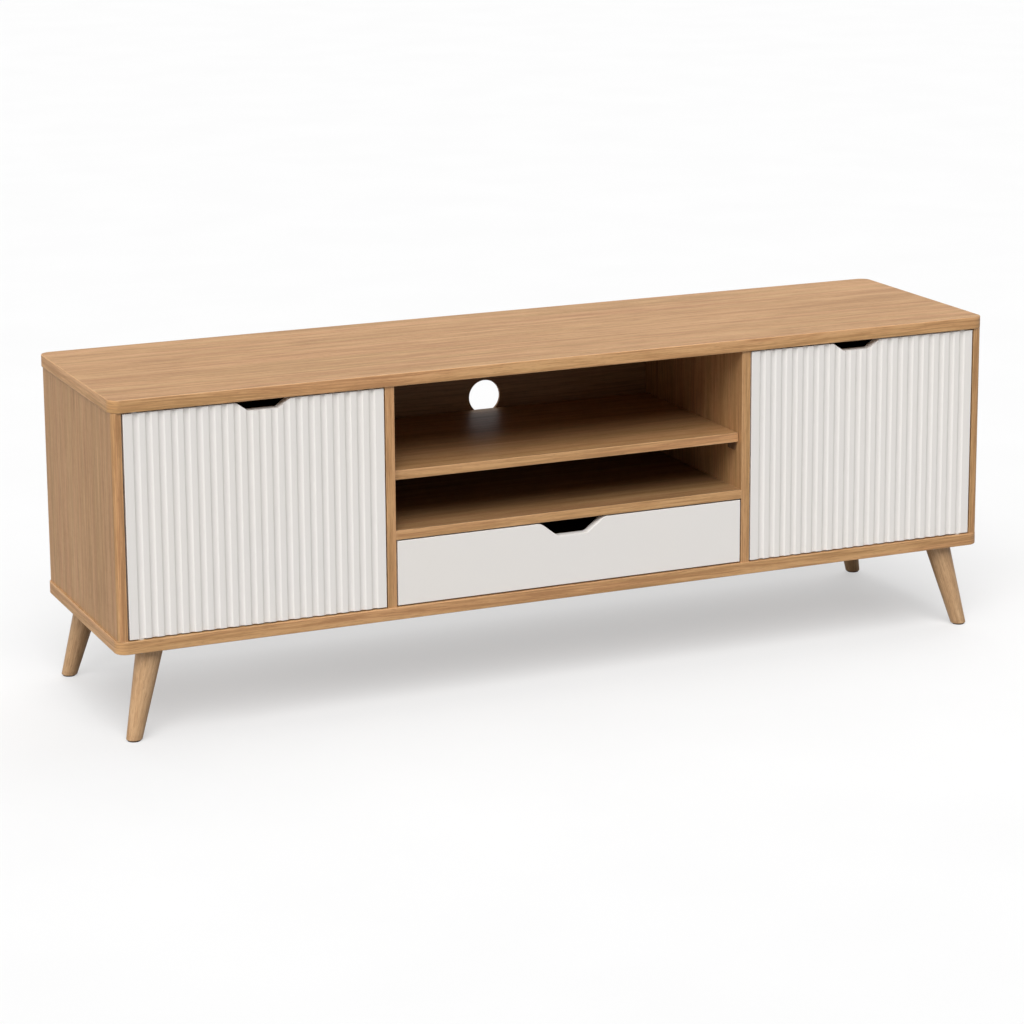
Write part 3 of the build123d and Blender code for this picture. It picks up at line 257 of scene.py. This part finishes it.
class Shader:
    """A material's node tree round a principled surface, with short calls that add nodes to it."""

    def __init__(self, name, **uniform):
        self.material = bpy.data.materials.new(name)
        self.material.use_nodes = True
        self.tree = self.material.node_tree
        self.surface = self.tree.nodes["Principled BSDF"]
        self.place = self.tree.nodes.new("ShaderNodeTexCoord")
        for socket, value in uniform.items():
            self.surface.inputs[socket.replace("_", " ")].default_value = value

    def feed(self, socket, value):
        if isinstance(value, bpy.types.NodeSocket):
            self.tree.links.new(value, socket)
        else:
            socket.default_value = value

    def add(self, kind, feeds, **settings):
        node = self.tree.nodes.new("ShaderNode" + kind)
        for key, value in settings.items():
            setattr(node, key, value)
        for key, value in feeds.items():
            self.feed(node.inputs[key], value)
        return node

    def math(self, operation, a, b=0.0, c=0.0):
        return self.add("Math", {0: a, 1: b, 2: c}, operation=operation).outputs[0]

    def between(self, value, low, high, start=0.0, end=1.0):
        """Value from low to high, mapped smoothly to start to end, and held outside."""
        feeds = {"Value": value, "From Min": low, "From Max": high, "To Min": start, "To Max": end}
        node = self.add("MapRange", feeds, interpolation_type="SMOOTHSTEP")
        return node.outputs["Result"]

    def parts(self, vector):
        return self.add("SeparateXYZ", {0: vector}).outputs

    def vector(self, x, y, z):
        return self.add("CombineXYZ", {0: x, 1: y, 2: z}).outputs[0]

    def vary(self, level, noise, amount):
        """Level, moved up and down by amount as noise goes above and below a half."""
        return self.math("MULTIPLY_ADD", self.math("SUBTRACT", noise, 0.5), amount, level)

    def scaled(self, vector, scale):
        """Vector times scale, which is one number or one for each axis."""
        if isinstance(scale, float):
            scale = (scale, scale, scale)
        return self.add("VectorMath", {0: vector, 1: scale}, operation="MULTIPLY").outputs[0]

    def noise(self, vector, detail=2.0, roughness=0.5):
        feeds = {"Vector": vector, "Scale": 1.0, "Detail": detail, "Roughness": roughness}
        return self.add("TexNoise", feeds).outputs["Fac"]

    def mix(self, factor, a, b, blend="MIX"):
        node = self.add("Mix", {0: factor}, data_type="RGBA", blend_type=blend)
        self.feed(node.inputs[6], solid_colour(a))
        self.feed(node.inputs[7], solid_colour(b))
        return node.outputs[2]

    def ramp(self, factor, stops):
        node = self.add("ValToRGB", {0: factor})
        elements = node.color_ramp.elements
        while len(elements) < len(stops):
            elements.new(0.5)
        for element, (position, colour) in zip(elements, stops):
            element.position = position
            element.color = (*colour, 1.0)
        return node.outputs["Color"]

    def bump(self, height, distance, strength=1.0, under=None):
        feeds = {"Height": height, "Distance": distance, "Strength": strength}
        if under is not None:
            feeds["Normal"] = under
        return self.add("Bump", feeds).outputs["Normal"]

    def finish(self, colour=None, roughness=None, normal=None):
        for socket, value in (("Base Color", colour), ("Roughness", roughness), ("Normal", normal)):
            if value is not None:
                self.feed(self.surface.inputs[socket], value)
        return self.material


def solid_colour(value):
    """A colour socket as it is, or three numbers with an alpha of one."""
    return value if isinstance(value, bpy.types.NodeSocket) else (*value, 1.0)


def seed_of(family, number):
    """The place in the noise of one piece of a family."""
    start, step = SEEDS[family]
    return start + step * number


def edge_wear_and_highlight(shader, box, width):
    """Near one, broken by noise, on the rounded edges of a board that fills box. It marks where edges are
    lightened, as wear and as a painted highlight.
    """
    low, high = box
    place = shader.parts(shader.place.outputs["Object"])
    depths = []
    for axis in range(3):
        middle = (low[axis] + high[axis]) / 2
        half = (high[axis] - low[axis]) / 2
        offset = shader.math("ABSOLUTE", shader.math("SUBTRACT", place[axis], middle))
        depths.append(shader.math("SUBTRACT", half, offset))
    pairs = [shader.math("MAXIMUM", depths[a], depths[b]) for a, b in ((0, 1), (1, 2), (0, 2))]
    nearest = shader.math("MINIMUM", shader.math("MINIMUM", pairs[0], pairs[1]), pairs[2])
    worn_and_lit = shader.between(nearest, width * ARRIS_CORE, width, 1.0, 0.0)
    patches = shader.noise(shader.scaled(shader.place.outputs["Object"], EDGE_PATCHES), detail=3.0)
    return shader.math("MULTIPLY", worn_and_lit, shader.between(patches, *PATCH_NOISE, LEAST_EDGE_MARK, 1.0))


# Oak ----------------------------------------------------------------------------------------------


def board_grain(shader, grain, face, seed):
    """Distances along a board's grain and across it, and one where the surface is a face, not an edge.

    On the faces, whose normal is along face, the figure lies in the face. On the edges a band of the same
    oak goes round the board, so there the figure lies along the edge.
    """
    across = next(axis for axis in range(3) if axis not in (grain, face))
    place = shader.parts(shader.place.outputs["Object"])
    normal = shader.parts(shader.place.outputs["Normal"])
    on_face = shader.math("GREATER_THAN", shader.math("ABSOLUTE", normal[face]), FACE_NORMAL)
    along_edge = place[grain]
    if grain != 2:
        along_edge = shader.math("SUBTRACT", place[grain], place[across])
    to_face = shader.math("SUBTRACT", place[grain], along_edge)
    along = shader.math("ADD", along_edge, shader.math("MULTIPLY", to_face, on_face))
    edge_across = shader.math("ADD", place[face], EDGE_OFFSET + seed)
    to_face = shader.math("SUBTRACT", place[across], edge_across)
    sideways = shader.math("ADD", edge_across, shader.math("MULTIPLY", to_face, on_face))
    return along, sideways, on_face


def growth_lines(shader, rings, peak):
    """A line in every whole ring, which comes up slowly to its peak and fades fast after it."""
    saw = shader.math("FRACT", rings)
    rise = shader.between(saw, 0.0, peak)
    fall = shader.between(saw, peak + GROWTH_REST, 1.0, 1.0, 0.0)
    return shader.math("MULTIPLY", rise, fall)


def oak_shader(name):
    return Shader(name, Specular_IOR_Level=0.36, Coat_Weight=0.06, Coat_Roughness=0.32)


def oak_figure(
    shader, box, grain, face, seed, tone=1.0, edge_tone=EDGE_BAND_TONE, contrast=1.0, fineness=1.0
):
    """Colour, roughness and normal of satin oak: soft bands, streaks, growth lines and open pores."""
    along, sideways, on_face = board_grain(shader, grain, face, seed)
    stretched = shader.math("MULTIPLY", along, WANDER_SCALE)
    wander = shader.noise(shader.vector(stretched, sideways, seed * WANDER_STEP), detail=2.0)
    sway = shader.math("MULTIPLY", shader.math("SUBTRACT", wander, 0.5), GRAIN_WANDER)
    sideways = shader.math("ADD", sideways, sway)
    flat = shader.vector(along, sideways, seed)

    bands = shader.noise(shader.scaled(flat, BANDS), detail=2.0, roughness=0.5)
    streaks = shader.noise(shader.scaled(flat, STREAKS), detail=5.0, roughness=0.75)
    threads = shader.noise(shader.scaled(flat, THREADS), detail=3.0, roughness=0.70)
    pores = shader.noise(shader.scaled(flat, PORES), detail=1.0, roughness=0.5)

    arch = shader.noise(shader.scaled(flat, ARCHES), detail=1.0, roughness=0.4)
    straight = shader.math("MULTIPLY", sideways, RINGS_PER_METRE)
    rings = shader.math("MULTIPLY_ADD", arch, ARCH_SWING, straight)
    figured = shader.between(bands, *FIGURED_BANDS)
    growth = shader.math("MULTIPLY", growth_lines(shader, rings, GROWTH_PEAK), figured)

    value = shader.vary(0.5, bands, BAND_WEIGHT)
    value = shader.vary(value, streaks, STREAK_WEIGHT)
    value = shader.vary(value, threads, THREAD_WEIGHT * fineness)
    value = shader.math("MULTIPLY_ADD", growth, GROWTH_WEIGHT, value)
    value = shader.vary(0.5, value, contrast)
    colour = shader.ramp(value, OAK_RAMP)

    hue = shader.noise(shader.scaled(flat, HUES), detail=3.0, roughness=0.6)
    tint = shader.ramp(hue, OAK_TINTS)
    colour = shader.mix(TINT_SHARE, colour, tint)
    open_pore = shader.between(pores, *OPEN_PORES)
    colour = shader.mix(shader.math("MULTIPLY", open_pore, PORE_SHARE), colour, OAK_PORE)
    # Rounded edges lightened: partly wear, partly a painted highlight
    worn_and_lit = edge_wear_and_highlight(shader, box, ARRIS_WIDTH)
    colour = shader.mix(shader.math("MULTIPLY", worn_and_lit, WEAR_AND_HIGHLIGHT_SHARE), colour, OAK_ARRIS)
    levels = shader.between(on_face, 0.0, 1.0, edge_tone, tone)
    colour = shader.mix(1.0, colour, shader.vector(levels, levels, levels), "MULTIPLY")

    roughness = shader.vary(BOARD_ROUGHNESS, streaks, STREAK_ROUGHNESS)
    roughness = shader.math("MULTIPLY_ADD", open_pore, PORE_ROUGHNESS, roughness)
    roughness = shader.math("MULTIPLY_ADD", worn_and_lit, WEAR_ROUGHNESS, roughness)
    raised = shader.math("MULTIPLY", threads, THREAD_HEIGHT)
    height = shader.math("MULTIPLY_ADD", open_pore, -1.0, raised)
    return colour, roughness, shader.bump(height, PORE_DEPTH, BOARD_RELIEF)


def oak_board(name, box, grain, face, seed, **look):
    """Oak on a board, with the grain along one axis and the board's faces across another."""
    shader = oak_shader(name)
    return shader.finish(*oak_figure(shader, box, grain, face, seed, **look))


def leg_axis(node):
    """The middle of a leg's top, and the direction from there to the middle of its foot."""
    low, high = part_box(node.name)
    rings = []
    for level in (high.z, low.z):
        ring = [v.co for v in node.data.vertices if abs(v.co.z - level) < LEVEL_TOLERANCE]
        lows = Vector([min(co[axis] for co in ring) for axis in range(3)])
        highs = Vector([max(co[axis] for co in ring) for axis in range(3)])
        rings.append((lows + highs) / 2)
    return rings[0], (rings[1] - rings[0]).normalized()


def turned_oak(name, node, seed):
    """Solid oak cut by the lathe: growth rings that surface as long arches along the leg."""
    shader = Shader(name, Specular_IOR_Level=0.45, Coat_Weight=0.15, Coat_Roughness=0.28)
    top, axis = leg_axis(node)
    upright = axis.rotation_difference(Vector((0.0, 0.0, 1.0))).to_euler()
    feeds = {0: shader.place.outputs["Object"], 1: tuple(top)}
    from_top = shader.add("VectorMath", feeds, operation="SUBTRACT").outputs[0]
    turn = {"Vector": from_top, "Rotation": tuple(upright)}
    local = shader.add("Mapping", turn, vector_type="POINT").outputs[0]
    u, v, w = shader.parts(local)

    stretched = shader.math("MULTIPLY", w, LEG_BEND_SCALE)
    bend = shader.noise(shader.vector(stretched, seed, 0.0), detail=2.0)
    u = shader.vary(u, bend, LEG_BEND)
    pith_y = PITH_Y - PITH_STEP * seed
    pith = shader.vector(shader.math("ADD", u, PITH_X), shader.math("ADD", v, pith_y), 0.0)
    reach = shader.add("VectorMath", {0: pith}, operation="LENGTH").outputs["Value"]
    straight = shader.vector(shader.math("ADD", u, seed), v, shader.math("MULTIPLY", w, LEG_STRETCH))
    streaks = shader.noise(shader.scaled(straight, LEG_STREAKS), detail=4.0, roughness=0.6)
    threads = shader.noise(shader.scaled(straight, LEG_THREADS), detail=3.0, roughness=0.6)
    pores = shader.noise(shader.scaled(straight, LEG_PORES), detail=1.0)
    wavering = shader.math("MULTIPLY", streaks, LEG_RING_WANDER)
    rings = shader.math("MULTIPLY_ADD", reach, LEG_RINGS_PER_METRE, wavering)

    value = shader.vary(LEG_LEVEL, streaks, LEG_STREAK_WEIGHT)
    value = shader.vary(value, threads, LEG_THREAD_WEIGHT)
    growth = growth_lines(shader, rings, LEG_GROWTH_PEAK)
    value = shader.math("MULTIPLY_ADD", growth, GROWTH_WEIGHT, value)
    colour = shader.ramp(value, LEG_RAMP)
    open_pore = shader.between(pores, *LEG_OPEN_PORES)
    colour = shader.mix(shader.math("MULTIPLY", open_pore, LEG_PORE_SHARE), colour, OAK_PORE)
    foot = shader.between(w, *SCUFFED_FOOT)
    rubbed = shader.noise(shader.scaled(local, SCUFF_SCALE), detail=3.0)
    scuffed = shader.math("MULTIPLY", foot, shader.between(rubbed, *SCUFF_NOISE))
    colour = shader.mix(shader.math("MULTIPLY", scuffed, SCUFF_SHARE), colour, LEG_DARK)

    roughness = shader.vary(LEG_ROUGHNESS, streaks, STREAK_ROUGHNESS)
    roughness = shader.math("MULTIPLY_ADD", open_pore, LEG_PORE_ROUGHNESS, roughness)
    roughness = shader.math("MULTIPLY_ADD", scuffed, SCUFF_ROUGHNESS, roughness)
    raised = shader.math("MULTIPLY", threads, THREAD_HEIGHT)
    height = shader.math("MULTIPLY_ADD", open_pore, -1.0, raised)
    return shader.finish(colour, roughness, shader.bump(height, PORE_DEPTH, LEG_RELIEF))


def fibre_back(name, box, seed):
    """A thin board: printed oak on the side that faces the room, bare fibreboard on the other."""
    shader = oak_shader(name)
    # The printed oak is darkened here as painted shade of the closed-in bay
    printed, roughness, relief = oak_figure(shader, box, grain=0, face=1, seed=seed, tone=BACK_PAINTED_SHADE)
    facing = shader.parts(shader.place.outputs["Normal"])
    behind = shader.math("GREATER_THAN", facing[1], BACK_NORMAL)
    place = shader.place.outputs["Object"]
    clumps = shader.noise(shader.scaled(place, FIBRE_CLUMPS), detail=5.0, roughness=0.65)
    fibres = shader.noise(shader.scaled(place, FIBRES), detail=3.0, roughness=0.7)
    bare = shader.ramp(shader.vary(clumps, fibres, FIBRE_WEIGHT), FIBRE_RAMP)
    return shader.finish(shader.mix(behind, printed, bare), roughness, relief)


# Lacquer, metal and plastic -----------------------------------------------------------------------


def white_lacquer(name, box, seed):
    """Satin white lacquer with faint orange peel, uneven sheen, and edges lightened as rubbing and as a
    painted highlight.
    """
    shader = Shader(name, Specular_IOR_Level=0.42, Coat_Weight=0.10, Coat_Roughness=0.25)
    place = shader.add("VectorMath", {0: shader.place.outputs["Object"], 1: (seed, seed, seed)})
    place = place.outputs[0]
    cloudy = shader.noise(shader.scaled(place, LACQUER_CLOUDS), detail=3.0, roughness=0.55)
    peel = shader.noise(shader.scaled(place, ORANGE_PEEL), detail=2.0, roughness=0.5)
    dust = shader.noise(shader.scaled(place, DUST), detail=2.0, roughness=0.6)
    colour = shader.ramp(cloudy, LACQUER_RAMP)
    # Rounded edges lightened: rubbing and a painted highlight
    worn_and_lit = edge_wear_and_highlight(shader, box, LACQUER_ARRIS_WIDTH)
    colour = shader.mix(shader.math("MULTIPLY", worn_and_lit, LACQUER_WEAR_AND_HIGHLIGHT_SHARE), colour, LACQUER_RUBBED_AND_LIT)
    roughness = shader.vary(LACQUER_ROUGHNESS, cloudy, LACQUER_CLOUD_ROUGHNESS)
    roughness = shader.vary(roughness, dust, LACQUER_DUST_ROUGHNESS)
    roughness = shader.math("MULTIPLY_ADD", worn_and_lit, LACQUER_WEAR_ROUGHNESS, roughness)
    fine = shader.bump(dust, DUST_HEIGHT, FINE_RELIEF)
    return shader.finish(colour, roughness, shader.bump(peel, PEEL_HEIGHT, FINE_RELIEF, under=fine))


def metal(name, colour, dull, roughness, brushed):
    """Plated or cast metal: cloudy colour and sheen, with fine marks along brushed, or grit if None."""
    shader = Shader(name, Metallic=1.0)
    place = shader.place.outputs["Object"]
    cloudy = shader.noise(shader.scaled(place, METAL_CLOUDS), detail=4.0, roughness=0.6)
    marks_scale = [METAL_GRIT, METAL_GRIT, METAL_GRIT]
    if brushed is not None:
        marks_scale[brushed] = METAL_STROKE
    marks = shader.noise(shader.scaled(place, tuple(marks_scale)), detail=3.0, roughness=0.6)
    tone = shader.ramp(cloudy, list(zip(METAL_STOPS, (dull, colour))))
    uneven = shader.vary(roughness, cloudy, METAL_CLOUD_ROUGHNESS)
    uneven = shader.vary(uneven, marks, METAL_GRIT_ROUGHNESS)
    return shader.finish(tone, uneven, shader.bump(marks, METAL_HEIGHT, FINE_RELIEF))


def moulded(name, colour, paler, roughness, grit):
    """Moulded plastic: a fine spark-eroded texture and a faint cloudiness."""
    shader = Shader(name, Specular_IOR_Level=0.45)
    place = shader.place.outputs["Object"]
    cloudy = shader.noise(shader.scaled(place, PLASTIC_CLOUDS), detail=3.0, roughness=0.5)
    texture = shader.noise(shader.scaled(place, grit), detail=2.0, roughness=0.6)
    tone = shader.ramp(cloudy, list(zip(PLASTIC_STOPS, (colour, paler))))
    uneven = shader.vary(roughness, texture, PLASTIC_GRIT_ROUGHNESS)
    return shader.finish(tone, uneven, shader.bump(texture, PLASTIC_HEIGHT, FINE_RELIEF))


# Putting the materials on the nodes ---------------------------------------------------------------


def dress(name, material):
    """Gives every material slot of a CAD node the same material."""
    node = NODES[name]
    for slot in node.material_slots:
        slot.material = material


def dress_boards():
    for number, (name, look) in enumerate(FLAT_BOARDS.items()):
        seed = seed_of("flat", number)
        dress(name, oak_board(f"{name}_oak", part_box(name), grain=0, face=2, seed=seed, **look))
    uprights = [f"{side}_{board}" for side in SIDES for board in ("side_panel", "divider")]
    for number, name in enumerate(uprights):
        seed = seed_of("upright", number)
        dress(name, oak_board(f"{name}_oak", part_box(name), grain=2, face=0, seed=seed, **UPRIGHT_LOOK))
    for number, name in enumerate(("left", "centre", "right")):
        board = f"{name}_back_board"
        dress(board, fibre_back(f"{board}_print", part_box(board), seed_of("back", number)))


def dress_drawer_box():
    """The sides' grain runs from front to back, and the other boards' from side to side."""
    face_axes = {"drawer_left_side": 0, "drawer_right_side": 0, "drawer_back": 1, "drawer_bottom": 2}
    for number, (name, face) in enumerate(face_axes.items()):
        grain = 1 if face == 0 else 0
        seed = seed_of("drawer", number)
        dress(name, oak_board(f"{name}_oak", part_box(name), grain, face, seed, **DRAWER_LOOK))


def dress_legs():
    legs = [f"{row}_{side}_leg" for row in ("front", "back") for side in SIDES]
    for number, name in enumerate(legs):
        dress(name, turned_oak(f"{name}_oak", NODES[name], seed_of("leg", number)))


def dress_fronts():
    for number, name in enumerate(("left_door", "right_door", "drawer_front")):
        dress(name, white_lacquer(f"{name}_lacquer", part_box(name), seed_of("lacquer", number)))


def dress_hardware():
    """Fittings take the material of their slot. The runners are drawn steel, marked along their length."""
    plated = metal("plated_steel", PLATED_STEEL, PLATED_STEEL_DULL, roughness=0.34, brushed=None)
    drawn = metal("drawn_steel", DRAWN_STEEL, DRAWN_STEEL_DULL, roughness=0.36, brushed=1)
    cast = metal("cast_zinc", CAST_ZINC, CAST_ZINC_DULL, roughness=0.50, brushed=None)
    ferrite = moulded("ferrite", FERRITE, FERRITE_PALE, roughness=0.55, grit=1400.0)
    nylon = moulded("nylon", NYLON, NYLON_PALE, roughness=0.42, grit=1200.0)
    brown = moulded("brown_plastic", BROWN_PLASTIC, BROWN_PLASTIC_PALE, roughness=0.42, grit=1200.0)
    dark = moulded("dark_plastic", DARK_PLASTIC, DARK_PLASTIC_PALE, roughness=0.55, grit=1100.0)
    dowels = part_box("carcass_dowels")
    beech = oak_board("dowel_beech", dowels, grain=2, face=0, seed=seed_of("dowel", 0), tone=DOWEL_TONE)
    by_slot = {
        "zinc_steel": plated,
        "zinc_casting": cast,
        "magnet": ferrite,
        "white_nylon": nylon,
        "brown_plastic": brown,
        "dark_plastic": dark,
        "beech_dowel": beech,
    }
    for entry in frame["record"]["subparts"]:
        if entry["material_slot"] in by_slot:
            dress(entry["node"], by_slot[entry["material_slot"]])
    for side in SIDES:
        for member in ("cabinet", "middle", "drawer"):
            dress(f"{side}_{member}_runner", drawn)


# Studio -------------------------------------------------------------------------------------------


def make_floor():
    """A pale seamless floor, with a glow that only the camera sees, so that shadows on it stay pale."""
    half = FLOOR_HALF
    mesh = bpy.data.meshes.new("floor")
    corners = [(-half, -half, 0.0), (half, -half, 0.0), (half, half, 0.0), (-half, half, 0.0)]
    mesh.from_pydata(corners, [], [(0, 1, 2, 3)])
    floor = bpy.data.objects.new("floor", mesh)
    bpy.context.scene.collection.objects.link(floor)
    shader = Shader("pale_floor", Roughness=0.9, Specular_IOR_Level=0.0)
    shader.surface.inputs["Emission Color"].default_value = (1.0, 1.0, 1.0, 1.0)
    seen = shader.add("LightPath", {}).outputs["Is Camera Ray"]
    shader.feed(shader.surface.inputs["Emission Strength"], shader.math("MULTIPLY", seen, FLOOR_GLOW))
    mottled = shader.noise(shader.scaled(shader.place.outputs["Object"], FLOOR_MOTTLE), detail=3.0)
    colour = shader.ramp(mottled, FLOOR_RAMP)
    mesh.materials.append(shader.finish(colour))


def sky_lamp(name, azimuth, elevation, spread, strength, mirrored=True):
    """A broad, distant soft box. Azimuth 0 is in front of the cabinet and 90 to its right, in degrees.

    One that isn't mirrored lights the cabinet but leaves no reflection. A low one would bleach the top.
    """
    light = bpy.data.lights.new(name, "SUN")
    light.angle = math.radians(spread)
    light.energy = strength
    turn = math.radians(azimuth)
    rise = math.radians(elevation)
    source = Vector((math.sin(turn) * math.cos(rise), -math.cos(turn) * math.cos(rise), math.sin(rise)))
    lamp = bpy.data.objects.new(name, light)
    lamp.rotation_euler = (-source).to_track_quat("-Z", "Y").to_euler()
    lamp.visible_glossy = mirrored
    bpy.context.scene.collection.objects.link(lamp)


def light_studio():
    """The soft boxes, and a world that is white to the camera, dim as light and brighter in reflections."""
    world = bpy.data.worlds.new("studio")
    bpy.context.scene.world = world
    world.use_nodes = True
    tree = world.node_tree
    background = tree.nodes["Background"]
    background.inputs["Color"].default_value = (1.0, 1.0, 1.0, 1.0)
    ray = tree.nodes.new("ShaderNodeLightPath").outputs
    level = tree.nodes.new("ShaderNodeMapRange")
    level.inputs["To Min"].default_value = ROOM_LIGHT
    level.inputs["To Max"].default_value = ROOM_SHEEN
    tree.links.new(ray["Is Glossy Ray"], level.inputs["Value"])
    backdrop = tree.nodes.new("ShaderNodeMath")
    backdrop.operation = "MAXIMUM"
    tree.links.new(ray["Is Camera Ray"], backdrop.inputs[0])
    tree.links.new(level.outputs["Result"], backdrop.inputs[1])
    tree.links.new(backdrop.outputs[0], background.inputs["Strength"])
    for name, box in SOFT_BOXES.items():
        sky_lamp(name, **box)


def make_camera():
    camera = bpy.data.objects.new("camera", bpy.data.cameras.new("camera"))
    camera.data.lens = CAMERA_LENS
    camera.data.clip_end = CAMERA_REACH
    camera.data.shift_y = CAMERA_SHIFT
    camera.location = CAMERA_PLACE
    turn = Matrix.Rotation(math.radians(-CAMERA_YAW), 3, "Z")
    tilt = Matrix.Rotation(math.radians(90.0 - CAMERA_PITCH), 3, "X")
    roll = Matrix.Rotation(math.radians(CAMERA_ROLL), 3, "Z")
    camera.rotation_euler = (turn @ tilt @ roll).to_euler()
    bpy.context.scene.collection.objects.link(camera)
    bpy.context.scene.camera = camera
    bpy.context.scene.view_settings.view_transform = "Standard"


dress_boards()
dress_drawer_box()
dress_legs()
dress_fronts()
dress_hardware()
make_floor()
light_studio()
make_camera()
